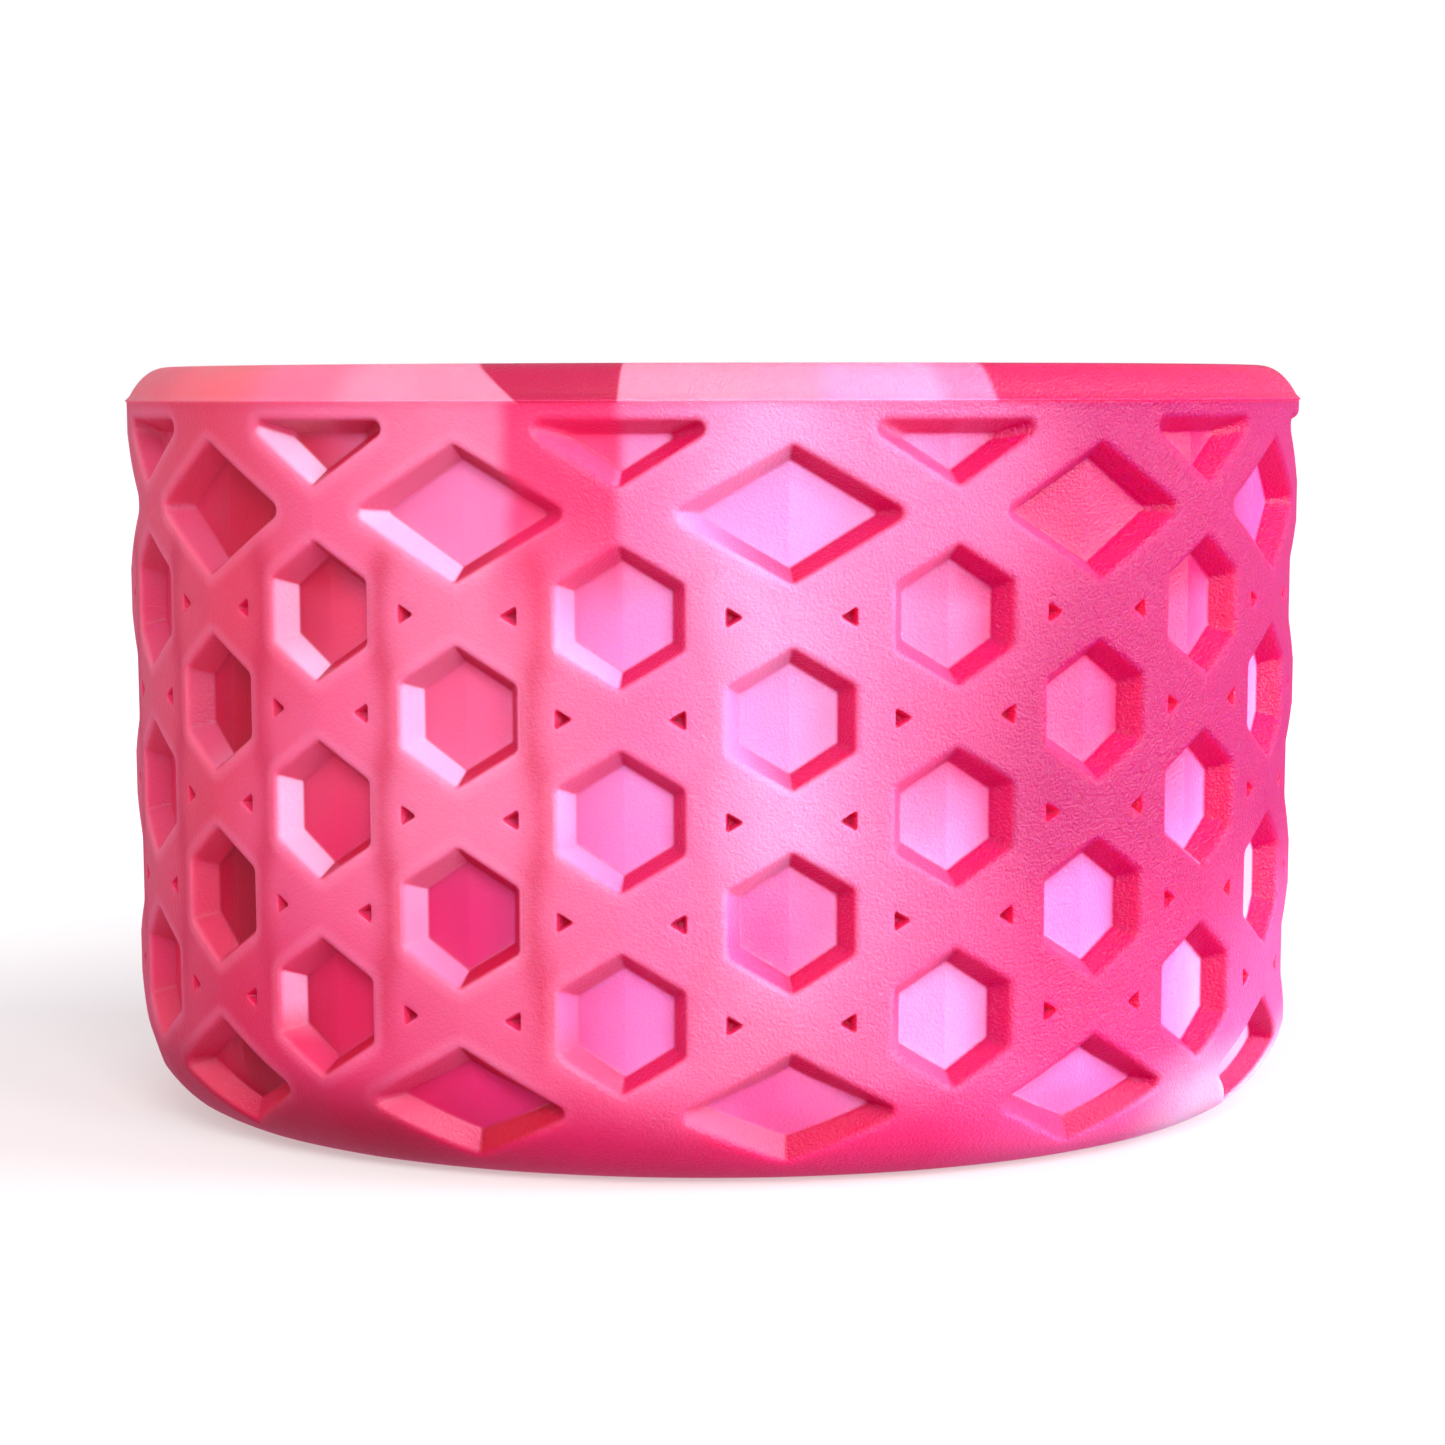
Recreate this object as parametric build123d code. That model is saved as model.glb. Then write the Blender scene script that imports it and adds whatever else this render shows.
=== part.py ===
"""Silicone base sleeve for a straight-sided bottle, pressed as one marbled moulding.

The sleeve is an open cup. Its outside carries a lattice of straps with drafted pockets between them.
It is moulded from charges of differently coloured silicone that cure into one body, and each charge is a
solid of its own here. Neighbouring charges meet face to face.
Frame: origin at the centre of the base, +Z up to the open rim, millimetres. Azimuths run from -Y towards +X.
"""
from build123d import *
import os
from math import asin, atan, cos, degrees, radians, sin, tan

os.makedirs("parts", exist_ok=True)

# Body of revolution
HEIGHT = 49.0
PARTING_Z = 46.7  # the line where the two halves of the mould meet
OUTER_R = 39.0  # outer radius at the parting line
WALL_DRAFT = 0.0145  # radius lost per millimetre below the parting line
BORE_R = 36.0  # relaxed radius of the bottle seat, 0.5 under the bottle's own
FLOOR = 2.6
OUTER_CORNER = 7.0
INNER_CORNER = 4.5
LIP_WIDTH = 2.75  # the lip leans in from the parting line and rolls over to a level top
LIP_LEAN = 1.3
FLASH_PROUD = 0.12  # how far the parting line's flash stands off the wall
FLASH_HALF_HEIGHT = 0.2
RECESS_R = 27.0  # shallow recess in the underside, so the sleeve stands on a ring
RECESS_DEPTH = 0.6
BASE_DISC_R = 31.0

# Lattice
COLUMNS = 24
LEVEL = 6.0  # height between a crossing and the next one in the neighbouring column
FIRST_LEVEL_DROP = 0.5  # level 0 lies this far below the parting line
STRAP = 2.9  # width of a sloping strap
UPRIGHT = 2.3  # width of an upright strap
POCKET_DEPTH = 1.5
POCKET_DRAFT = 31.0  # degrees off the radial direction
DIMPLE_DEPTH = 0.9
DIMPLE_DRAFT = 10.0
TOP_POCKET_EDGE = 45.75  # height of the flat edge of the cut-off top pockets
TOOL_OUT = 1.2  # how far a pocket cutter reaches outside the wall
TOOL_IN = 2.6  # how far it reaches inside it, before the core limits it

# Sizes that follow from those
COLUMN_STEP = 360.0 / COLUMNS
HALF_COLUMN = OUTER_R * radians(COLUMN_STEP) / 2
SLOPE = degrees(atan(LEVEL / (2 * HALF_COLUMN)))
SIDE = LEVEL * cos(radians(SLOPE)) - STRAP / 2  # from a pocket's centre to a sloping side
JAMB = HALF_COLUMN - UPRIGHT / 2  # from a pocket's centre to an upright side
WIDE_HALF_WIDTH = 8.1  # a wide pocket on the flat plane that touches the wall at its centre
WIDE_HALF_HEIGHT = 4.25
FOOT_HALF_HEIGHT = 4.6  # the lowest pockets run over the rounded base corner
FOOT_TILT = 24.0


def level_z(level):
    """Height of a lattice level."""
    return PARTING_Z - FIRST_LEVEL_DROP - LEVEL * level


def wall_r(z):
    """Outer radius of the wall at a height."""
    return OUTER_R - WALL_DRAFT * (PARTING_Z - z)


def outline(sides, grow=0.0):
    """Corners of a convex outline given by its sides, each (direction of its normal, distance)."""
    corners = []
    for (a1, d1), (a2, d2) in zip(sides, sides[1:] + sides[:1]):
        a1, a2, d1, d2 = radians(a1), radians(a2), d1 + grow, d2 + grow
        across = sin(a2 - a1)
        x = (d1 * sin(a2) - d2 * sin(a1)) / across
        y = (d2 * cos(a1) - d1 * cos(a2)) / across
        corners.append((x, y))
    return corners


def rhombus(half_width, half_height):
    """The four sides of a wide pocket."""
    lean = degrees(atan(half_width / half_height))
    distance = half_height * sin(radians(lean))
    return [(turn, distance) for turn in (lean, 180 - lean, 180 + lean, 360 - lean)]


def hexagon():
    """The six sides of a pocket between two upright straps."""
    lean = 90 - SLOPE
    return [(0, JAMB), (lean, SIDE), (180 - lean, SIDE), (180, JAMB), (180 + lean, SIDE), (360 - lean, SIDE)]


def top_pocket():
    """A wide pocket cut off along the rim band: flat top edge, point downwards."""
    sides = rhombus(WIDE_HALF_WIDTH, WIDE_HALF_HEIGHT)
    return [(90, TOP_POCKET_EDGE - level_z(0)), sides[2], sides[3]]


def dimple(hand):
    """The small triangle beside a crossing; hand is 1 on its right and -1 on its left."""
    lean = 90 + SLOPE
    if hand > 0:
        return [(0, JAMB), (lean, -STRAP / 2), (360 - lean, -STRAP / 2)]
    return [(180, JAMB), (180 + lean, -STRAP / 2), (180 - lean, -STRAP / 2)]


def cutter(sides, z, azimuth, depth=TOOL_IN, draft=POCKET_DRAFT, tilt=0.0, radius=None):
    """A drafted cutter whose outline lies on the plane that touches the wall at this height."""
    radius = wall_r(z) if radius is None else radius
    turn = radians(azimuth)
    drop = radians(tilt)
    along = Vector(cos(turn), sin(turn), 0)
    out = Vector(sin(turn) * cos(drop), -cos(turn) * cos(drop), -sin(drop))
    at = Vector(radius * sin(turn), -radius * cos(turn), z)
    slope = tan(radians(draft))
    ends = []
    for reach in (TOOL_OUT, -depth):
        plane = Plane(origin=at + out * reach, x_dir=along, z_dir=out)
        ends.append(plane * make_face(Polyline(*outline(sides, slope * reach), close=True)))
    return loft(ends, ruled=True)


def corner_radius_at(level):
    """Radius of the rounded base corner at a lattice level that lies on it."""
    rise = asin((OUTER_CORNER - level_z(level)) / OUTER_CORNER)
    return wall_r(OUTER_CORNER) - OUTER_CORNER * (1 - cos(rise))


def pocket_cutters(column):
    """Every pocket of one column. Even columns start with a wide pocket, odd ones with a cut-off one."""
    azimuth = COLUMN_STEP * (column + 0.5)
    cutters = []
    if column % 2 == 0:
        wide = rhombus(WIDE_HALF_WIDTH, WIDE_HALF_HEIGHT)
        foot = rhombus(WIDE_HALF_WIDTH, FOOT_HALF_HEIGHT)
        cutters.append(cutter(wide, level_z(1), azimuth))
        cutters += [cutter(hexagon(), level_z(level), azimuth) for level in (3, 5)]
        cutters.append(cutter(foot, level_z(7), azimuth, tilt=FOOT_TILT, radius=corner_radius_at(7)))
        crossings = (2, 4, 6)
    else:
        cutters.append(cutter(top_pocket(), level_z(0), azimuth))
        cutters += [cutter(hexagon(), level_z(level), azimuth) for level in (2, 4, 6)]
        crossings = (3, 5)
    for level in crossings:
        for hand in (1, -1):
            cutters.append(cutter(dimple(hand), level_z(level), azimuth, DIMPLE_DEPTH, DIMPLE_DRAFT))
    return cutters


def turned(points):
    """A solid of revolution about Z from a closed outline of (radius, height) points."""
    outline_face = make_face(Polyline(*[(r, 0, z) for r, z in points], close=True))
    return revolve(outline_face, Axis.Z, 360)


def corner_at(face, r, z):
    """The corner of a profile that lies at a radius and a height."""
    near = face.vertices().filter_by_position(Axis.X, r - 0.01, r + 0.01)
    return near.filter_by_position(Axis.Z, z - 0.01, z + 0.01)


def rounded_drum(radius_low, radius_high, low, high, corner):
    """A tapered drum with a rounded lower edge."""
    outline_low = [(0, 0, low), (radius_low, 0, low)]
    outline_high = [(radius_high, 0, high), (0, 0, high)]
    face = make_face(Polyline(*outline_low, *outline_high, close=True))
    return revolve(fillet(corner_at(face, radius_low, low), corner), Axis.Z, 360)


def plain_body():
    """The cup before its pockets: drafted wall, rolled lip, rounded base corner, bottle seat, base recess."""
    lip_end = OUTER_R - LIP_WIDTH
    lip_start = (OUTER_R, 0, PARTING_Z)
    lip_top = (lip_end, 0, HEIGHT)
    axis_end = (0, 0, RECESS_DEPTH)
    lip = Bezier(lip_start, (OUTER_R - LIP_LEAN, 0, HEIGHT), lip_top)
    seat_edge = (BORE_R, 0, HEIGHT - (lip_end - BORE_R))
    inside = Polyline(lip_top, seat_edge, (BORE_R, 0, FLOOR), (0, 0, FLOOR), axis_end)
    recess = Polyline(axis_end, (RECESS_R, 0, RECESS_DEPTH), (RECESS_R, 0, 0))
    wall = Polyline((RECESS_R, 0, 0), (wall_r(0), 0, 0), lip_start)
    face = make_face([lip, inside, recess, wall])
    face = fillet(corner_at(face, wall_r(0), 0), OUTER_CORNER)
    face = fillet(corner_at(face, BORE_R, FLOOR), INNER_CORNER)
    return revolve(face, Axis.Z, 360)


def flash():
    """The fine ridge that the parting line leaves round the wall."""
    inside = OUTER_R - 0.3
    return turned(
        [
            (inside, PARTING_Z - FLASH_HALF_HEIGHT),
            (wall_r(PARTING_Z - FLASH_HALF_HEIGHT), PARTING_Z - FLASH_HALF_HEIGHT),
            (OUTER_R + FLASH_PROUD, PARTING_Z),
            (OUTER_R, PARTING_Z + FLASH_HALF_HEIGHT),
            (inside, PARTING_Z + FLASH_HALF_HEIGHT),
        ]
    )


def core():
    """What the pockets stop at: a faceted drum whose edges run down the middle of each column."""
    low, high = -2.0, HEIGHT + 2.0
    turns = [radians(COLUMN_STEP * (i + 0.5)) for i in range(COLUMNS)]
    rings = []
    for z in (low, high):
        radius = wall_r(z) - POCKET_DEPTH
        corners = [(radius * sin(t), -radius * cos(t), z) for t in turns]
        rings.append(make_face(Polyline(*corners, close=True)))
    facets = loft(rings, ruled=True)
    inset = OUTER_CORNER - POCKET_DEPTH
    drum = rounded_drum(wall_r(0) - POCKET_DEPTH, wall_r(high) - POCKET_DEPTH, POCKET_DEPTH, high, inset)
    return facets & drum


def sleeve():
    """The whole moulding, before it is divided into its charges."""
    inner = core()
    body = plain_body() + flash()
    return body - [tool - inner for column in range(COLUMNS) for tool in pocket_cutters(column)]


def wedge(start, end, inner_r=BASE_DISC_R, low=-1.0, high=HEIGHT + 1.0):
    """The space between two azimuths, from a radius outwards."""
    outer = OUTER_R + 3
    face = make_face(
        Polyline((inner_r, 0, low), (outer, 0, low), (outer, 0, high), (inner_r, 0, high), close=True)
    )
    return Rot(0, 0, start - 90) * revolve(face, Axis.Z, end - start)


# Where one charge ends and the next begins: azimuths in degrees, on strap or column centre lines
CORAL_START = -105.0
ROSE_START = -52.5
PATCH_START = -22.5
BLUSH_START = -7.5
MAGENTA_START = 22.5
ORCHID_START = 105.0
SALMON_START = 180.0
PATCH_LOW = 35.2  # the crimson patch runs from here up to the rim


def base_disc(body):
    """The disc of silicone laid in the bottom of the mould."""
    return body & Pos(0, 0, HEIGHT / 2) * Cylinder(BASE_DISC_R, HEIGHT + 4)


def charges(body):
    """The moulding divided into its coloured charges."""
    patch_room = wedge(PATCH_START, BLUSH_START, low=PATCH_LOW)
    return {
        "base_disc": base_disc(body),
        "coral_wall": body & wedge(CORAL_START, ROSE_START),
        "rose_wall": body & (wedge(ROSE_START, BLUSH_START) - patch_room),
        "crimson_patch": body & patch_room,
        "blush_wall": body & wedge(BLUSH_START, MAGENTA_START),
        "magenta_wall": body & wedge(MAGENTA_START, ORCHID_START),
        "orchid_wall": body & wedge(ORCHID_START, SALMON_START),
        "salmon_wall": body & wedge(SALMON_START, CORAL_START + 360),
    }


for name, shape in charges(sleeve()).items():
    export_step(shape, f"parts/{name}.step")
    print(name, round(shape.volume, 1), "mm3", len(shape.solids()), "solid")
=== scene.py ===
# %% [markdown]
# # A marbled silicone base sleeve for a bottle
#
# The sleeve is an open cup, pressed from soft silicone in a two-part mould. A bottle stands in it, and its
# outside carries a lattice of straps with drafted pockets between them. This lesson starts from the
# measured model, which is loaded as a fixed frame, and gives the sleeve its skin, its colours and its
# light.

# %% Load the measured model
import bpy
import bmesh
import numpy as np
from math import atan, atan2, cos, degrees, hypot, pi, radians, sin, tan
from mathutils import Matrix, Vector
from mathutils.geometry import delaunay_2d_cdt


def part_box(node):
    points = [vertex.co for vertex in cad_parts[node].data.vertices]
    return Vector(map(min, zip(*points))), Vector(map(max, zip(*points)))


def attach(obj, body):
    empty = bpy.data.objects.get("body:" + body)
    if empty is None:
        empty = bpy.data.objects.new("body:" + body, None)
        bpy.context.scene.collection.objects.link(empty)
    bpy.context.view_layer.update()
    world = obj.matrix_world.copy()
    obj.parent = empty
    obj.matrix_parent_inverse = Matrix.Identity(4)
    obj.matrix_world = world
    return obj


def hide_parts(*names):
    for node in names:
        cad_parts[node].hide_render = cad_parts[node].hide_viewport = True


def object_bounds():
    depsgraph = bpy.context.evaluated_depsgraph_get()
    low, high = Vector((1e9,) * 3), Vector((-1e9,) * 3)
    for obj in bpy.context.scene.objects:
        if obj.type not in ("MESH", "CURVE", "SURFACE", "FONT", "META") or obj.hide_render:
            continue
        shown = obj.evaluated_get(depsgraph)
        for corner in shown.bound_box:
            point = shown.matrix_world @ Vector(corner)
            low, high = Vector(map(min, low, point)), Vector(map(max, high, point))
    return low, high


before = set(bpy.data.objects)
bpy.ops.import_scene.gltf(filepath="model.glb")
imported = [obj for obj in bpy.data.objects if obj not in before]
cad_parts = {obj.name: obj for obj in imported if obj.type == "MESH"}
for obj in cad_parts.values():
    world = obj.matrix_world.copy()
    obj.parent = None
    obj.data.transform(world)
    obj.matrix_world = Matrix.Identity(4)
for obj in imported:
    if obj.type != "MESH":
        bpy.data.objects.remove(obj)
cad_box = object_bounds()
print("model box in metres:", [round(v, 4) for v in (*cad_box[0], *cad_box[1])])

# %% [markdown]
# ## The sleeve's own measures
#
# The height comes from the loaded model, and so does the radius: the widest place is the flash, the fine
# ridge where the two halves of the mould met. The other measures drive the shape. They are in millimetres,
# because a mould maker thinks in millimetres, and the mesh is scaled to metres at the very end.

# %% The driving dimensions
MM = 0.001
HEIGHT = cad_box[1].z / MM
FLASH_PROUD = 0.12
OUTER_R = cad_box[1].x / MM - FLASH_PROUD
PARTING_Z = HEIGHT - 2.3
WALL_DRAFT = 0.0145
BORE_R = OUTER_R - 3.0
BASE_CORNER = 7.0
SEAT_CORNER = 4.5
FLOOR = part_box("base_disc")[1].z / MM
RECESS_R = 27.0
RECESS_DEPTH = 0.6
COLUMNS = 24
PITCH = OUTER_R * 2 * pi / COLUMNS
LEVEL = 6.0
print("height", round(HEIGHT, 2), "radius", round(OUTER_R, 2), "column pitch", round(PITCH, 2))

# %% [markdown]
# ## The wall as a path
#
# A point of the outside is given by two numbers: how far round it lies, and how far down the wall it lies
# below the parting line. This function turns the second number into a radius, a height and the direction
# that faces outwards. The path runs straight down the drafted wall and then round the base corner, so a
# pocket drawn on the flat plan bends over that corner by itself, as the lowest pockets do.

# %% From a distance down the wall to a place
CORNER_START = PARTING_Z - BASE_CORNER
CORNER_LENGTH = BASE_CORNER * pi / 2
WALL_END = CORNER_START + CORNER_LENGTH


def wall_path(down):
    """Radius, height and outward direction at a distance below the parting line."""
    down = np.asarray(down, float)
    turn = np.clip((down - CORNER_START) / BASE_CORNER, 0, pi / 2)
    straight = np.minimum(down, CORNER_START)
    radius = OUTER_R - WALL_DRAFT * straight - BASE_CORNER * (1 - np.cos(turn))
    height = PARTING_Z - straight - BASE_CORNER * np.sin(turn)
    return radius, height, np.cos(turn), -np.sin(turn)


print("the wall path is", round(float(WALL_END), 2), "mm long")

# %% [markdown]
# ## Facets
#
# The tool that cut the mould worked in flats: the wall is a drum of 24 narrow facets, whose edges run down
# the middle of each column of pockets. On the straps the edges are worn soft. In the pocket floors they are
# full, which gives each floor a crease down its middle. This function says how much a facet sags below the
# round drum.

# %% Sag of a facet
HALF_TURN = pi / COLUMNS
LAND_FACET = 0.4


def facet(across, strength):
    """Factor on the radius at a distance from a column's middle, for round (0) to fully flat (1)."""
    turn = np.asarray(across, float) / OUTER_R
    sag = cos(HALF_TURN) / np.cos(turn - HALF_TURN) - 1
    return 1 + strength * sag


print("a full facet sags", round(OUTER_R * (1 - cos(HALF_TURN)), 2), "mm at its middle")

# %% [markdown]
# ## Pocket outlines
#
# Four kinds of pocket share the wall: wide diamonds under the rim, hexagons down the columns, wide diamonds
# over the base corner, and diamonds cut off flat along the rim band. Small triangular dimples sit beside
# each crossing. Every outline is drawn on the flat plan of one half column, as the sides of a convex shape.
# Each side is a direction and a distance from the centre, which makes insetting the outline a plain
# subtraction.

# %% Outlines by their sides
STRAP = 2.9
UPRIGHT = 2.3
SLOPE = degrees(atan(LEVEL / PITCH))
SIDE = LEVEL * cos(radians(SLOPE)) - STRAP / 2
JAMB = PITCH / 2 - UPRIGHT / 2


def level_down(level):
    """Distance below the parting line of a lattice level."""
    return 0.5 + LEVEL * level


def diamond(half_width, half_height):
    """Sides of the right half of a diamond, from the top down."""
    lean = degrees(atan2(half_width, half_height))
    distance = half_height * sin(radians(lean))
    return [(lean, distance), (-lean, distance)]


def hexagon():
    """Sides of the right half of a hexagon, from the top down."""
    return [(90 - SLOPE, SIDE), (0, JAMB), (SLOPE - 90, SIDE)]


def cut_diamond():
    """The lower part of a diamond, cut off flat along the rim band."""
    return [(90, -0.45), diamond(7.45, 4.57)[1]]


print("hexagon", round(2 * JAMB, 2), "x", round(2 * SIDE / cos(radians(SLOPE)), 2), "mm")

# %% [markdown]
# ## From an outline to a ring of points
#
# A pocket is lofted from rings that all have the same number of points, so two neighbouring rings join with
# clean four-sided faces. A ring is the outline inset by some distance, with its corners rounded. Only the
# right half is made, from the column's middle line down to the middle line again, because the left half is
# its mirror image.

# %% Half rings with rounded corners
ARC_STEPS = 5
SIDE_STEPS = 7


def meet(a, b):
    """The point where two sides meet; each side is (direction in degrees, distance)."""
    (ta, da), (tb, db) = a, b
    ta, tb = radians(ta), radians(tb)
    across = sin(tb - ta)
    return Vector(((da * sin(tb) - db * sin(ta)) / across, (db * cos(ta) - da * cos(tb)) / across))


def rounded(corner, before, after, radius, half):
    """Points of a rounded corner between two sides. half keeps only its first or last half."""
    start, end = radians(before), radians(after)
    middle = (start + end) / 2
    reach = radius / cos((start - end) / 2)
    centre = corner - reach * Vector((cos(middle), sin(middle)))
    low, high = {"first": (start, middle), "last": (middle, end), "whole": (start, end)}[half]
    turns = np.linspace(low, high, ARC_STEPS + 1)
    return [centre + radius * Vector((cos(t), sin(t))) for t in turns]


print("a square corner meets at", tuple(round(v, 2) for v in meet((90, 1), (0, 1))))

# %% The right half of an outline as points


def half_ring(sides, inset, radius):
    """Points down the right half of an outline, inset and rounded; both ends lie on the middle line."""
    sides = [(turn, distance - inset) for turn, distance in sides]
    mirror = [(180 - turn, distance) for turn, distance in sides]
    points = []
    if sides[0][0] == 90:
        points.append([Vector((0, sides[0][1]))])
    else:
        points.append(rounded(meet(mirror[0], sides[0]), mirror[0][0], sides[0][0], radius, "last"))
    for one, two in zip(sides, sides[1:]):
        points.append(rounded(meet(one, two), one[0], two[0], radius, "whole"))
    last, back = sides[-1], (mirror[-1][0] - 360, mirror[-1][1])
    points.append(rounded(meet(last, back), last[0], back[0], radius, "first"))
    ring = list(points[0])
    for run in points[1:]:
        steps = [ring[-1].lerp(run[0], i / SIDE_STEPS) for i in range(1, SIDE_STEPS)]
        ring += steps + run
    return [(p.x, p.y) for p in ring]


print("a hexagon's half ring has", len(half_ring(hexagon(), 0, 0.5)), "points")

# %% [markdown]
# ## The section through a pocket's edge
#
# Going into a pocket, the strap rolls over a soft shoulder, drops down a drafted wall, and turns through a
# tight fillet into the floor. The section is a list of steps: how far inside the outline, and how deep.
# Both roundings are sampled from true arcs, because a chamfer would catch the light as a hard line that
# soft silicone never shows.

# %% Steps of the section


def section(depth, draft, shoulder, fillet, shoulder_steps=5, fillet_steps=3):
    """(inset, depth) steps from the strap's face down to the pocket's floor."""
    lean = radians(90 - draft)
    over = depth * tan(radians(draft))
    steps = []
    reach = shoulder * tan(lean / 2)
    for i in range(shoulder_steps + 1):
        turn = lean * i / shoulder_steps
        steps.append((-reach + shoulder * sin(turn), shoulder * (1 - cos(turn))))
    reach = fillet * tan(lean / 2)
    for i in range(fillet_steps + 1):
        turn = lean * (1 - i / fillet_steps)
        steps.append((over + reach - fillet * sin(turn), depth - fillet * (1 - cos(turn))))
    return steps


POCKET = section(depth=1.5, draft=31, shoulder=0.62, fillet=0.28)
DIMPLE = section(depth=0.85, draft=12, shoulder=0.16, fillet=0.06, shoulder_steps=3, fillet_steps=1)
print("pocket section:", [(round(a, 2), round(b, 2)) for a, b in POCKET])

# %% [markdown]
# ## One half column
#
# The wall repeats: a strip from the middle of one column to the middle of the next holds everything once,
# and the rest is that strip and its mirror image by turns. So only this strip is built. Its pockets are
# lofted ring by ring, and the straps between them are filled with a constrained triangulation, which keeps
# every ring's points and adds evenly spaced points of its own, so the straps can bend round the drum.

# %% Collect the strip's points and faces
STRIP_STEPS = 12
points = []  # (across, down, depth, facet strength)
faces = []
loops = []  # chains of point numbers that bound the straps
holes = []  # outlines, to leave out what lies inside them


def add_points(ring, depth, strength):
    """Add a ring's points and return their numbers."""
    first = len(points)
    points.extend((x, y, depth, strength) for x, y in ring)
    return list(range(first, first + len(ring)))


def bridge(upper, lower, closed=False):
    """Join two rings with four-sided faces."""
    count = len(upper) if closed else len(upper) - 1
    for i in range(count):
        j = (i + 1) % len(upper)
        faces.append((upper[i], upper[j], lower[j], lower[i]))


# %% [markdown]
# ## Filling between rings
#
# A triangulation fills everything between its outermost points, pockets included. Its triangles are
# therefore grouped into patches, each bounded by the edges of rings, and a whole patch is kept or dropped
# by its widest triangle. Judging each triangle alone would leave out thin ones that lie along a ring, and a
# missing sliver is a hole in the skin.

# %% Group triangles into patches


def area(a, b, c):
    """Area of a flat triangle."""
    return abs((b - a).cross(c - a)) / 2


def patches(triangles, walls):
    """Group triangles into patches that are bounded by wall edges."""
    beside = {}
    for number, triangle in enumerate(triangles):
        for a, b in zip(triangle, triangle[1:] + triangle[:1]):
            beside.setdefault(frozenset((a, b)), []).append(number)
    joined = {number: [] for number in range(len(triangles))}
    for edge, pair in beside.items():
        if len(pair) == 2 and edge not in walls:
            joined[pair[0]].append(pair[1])
            joined[pair[1]].append(pair[0])
    left = set(joined)
    while left:
        patch, waiting = [], [left.pop()]
        while waiting:
            number = waiting.pop()
            patch.append(number)
            fresh = [n for n in joined[number] if n in left]
            left.difference_update(fresh)
            waiting += fresh
        yield patch


print("a triangle of 3 by 4 mm has", area(Vector((0, 0)), Vector((3, 0)), Vector((0, 4))), "square mm")

# %% Fill a room with evenly spaced triangles
CLEAR_OF_RING = 0.62  # a spare point stays this share of the gap away from a ring
SLIVER = 1e-4  # square millimetres


def fill(chains, room, gap, depth, strength, keep):
    """Fill the room between chains of points with triangles; keep says which centres belong to it."""
    (x0, y0), (x1, y1) = room
    used = sorted({n for chain in chains for n in chain})
    flat = [Vector(points[n][:2]) for n in used]
    where = {n: i for i, n in enumerate(used)}
    edges = [(where[a], where[b]) for chain in chains for a, b in zip(chain, chain[1:])]
    rim = np.array([points[n][:2] for n in used])
    rows = int((y1 - y0) / (gap * 0.87))
    for row in range(1, rows):
        y = y0 + (y1 - y0) * row / rows
        columns = int((x1 - x0) / gap)
        for column in range(columns + 1):
            x = x0 + (x1 - x0) * (column + 0.5 * (row % 2)) / columns
            on_edge = x < x0 + 1e-6 or x > x1 - 1e-6
            near = np.hypot(*(rim - (x, y)).T).min() < gap * CLEAR_OF_RING
            if not on_edge and not near and keep(x, y):
                used.append(len(points))
                points.append((x, y, depth, strength))
                flat.append(Vector((x, y)))
    spots, lines, triangles, origins, sources, _ = delaunay_2d_cdt(flat, edges, [], 0, 1e-6)
    walls = {frozenset(line) for line, source in zip(lines, sources) if source}
    for patch in patches(triangles, walls):
        widest = max(patch, key=lambda t: area(*(spots[n] for n in triangles[t])))
        middle = sum((spots[n] for n in triangles[widest]), Vector((0, 0))) / 3
        sliver = area(*(spots[n] for n in triangles[widest])) < SLIVER
        if not sliver and keep(middle.x, middle.y):
            faces.extend(tuple(used[origins[n][0]] for n in triangles[t]) for t in patch)


def inside(x, y, ring):
    """Whether a flat point lies inside a closed ring."""
    result = False
    for (x0, y0), (x1, y1) in zip(ring, ring[1:] + ring[:1]):
        if (y0 > y) != (y1 > y) and x < x0 + (y - y0) / (y1 - y0) * (x1 - x0):
            result = not result
    return result


print("the strip starts with", len(points), "points")

# %% [markdown]
# ## Lofting the pockets
#
# Each pocket is placed on the strip by its column, which is the strip's left or right edge, and by its
# distance down the wall. The outermost ring bounds the straps and the innermost one bounds the floor.

# %% Place a ring on one of the strip's two edges
CORNER_ROUND = 0.6


def placed(ring, side, down):
    """Move a half ring to the left (0) or right (1) edge of the strip."""
    if side == 0:
        return [(x, down - y) for x, y in ring]
    return [(PITCH - x, down - y) for x, y in ring]


print("corners rounded by", CORNER_ROUND, "mm")

# %% Loft a pocket
TIGHTEST = 0.24  # a rounded corner keeps at least this radius as its ring is inset
FLOOR_GAP = 0.9
FULL_FACET_DEPTH = 1.0


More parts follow.
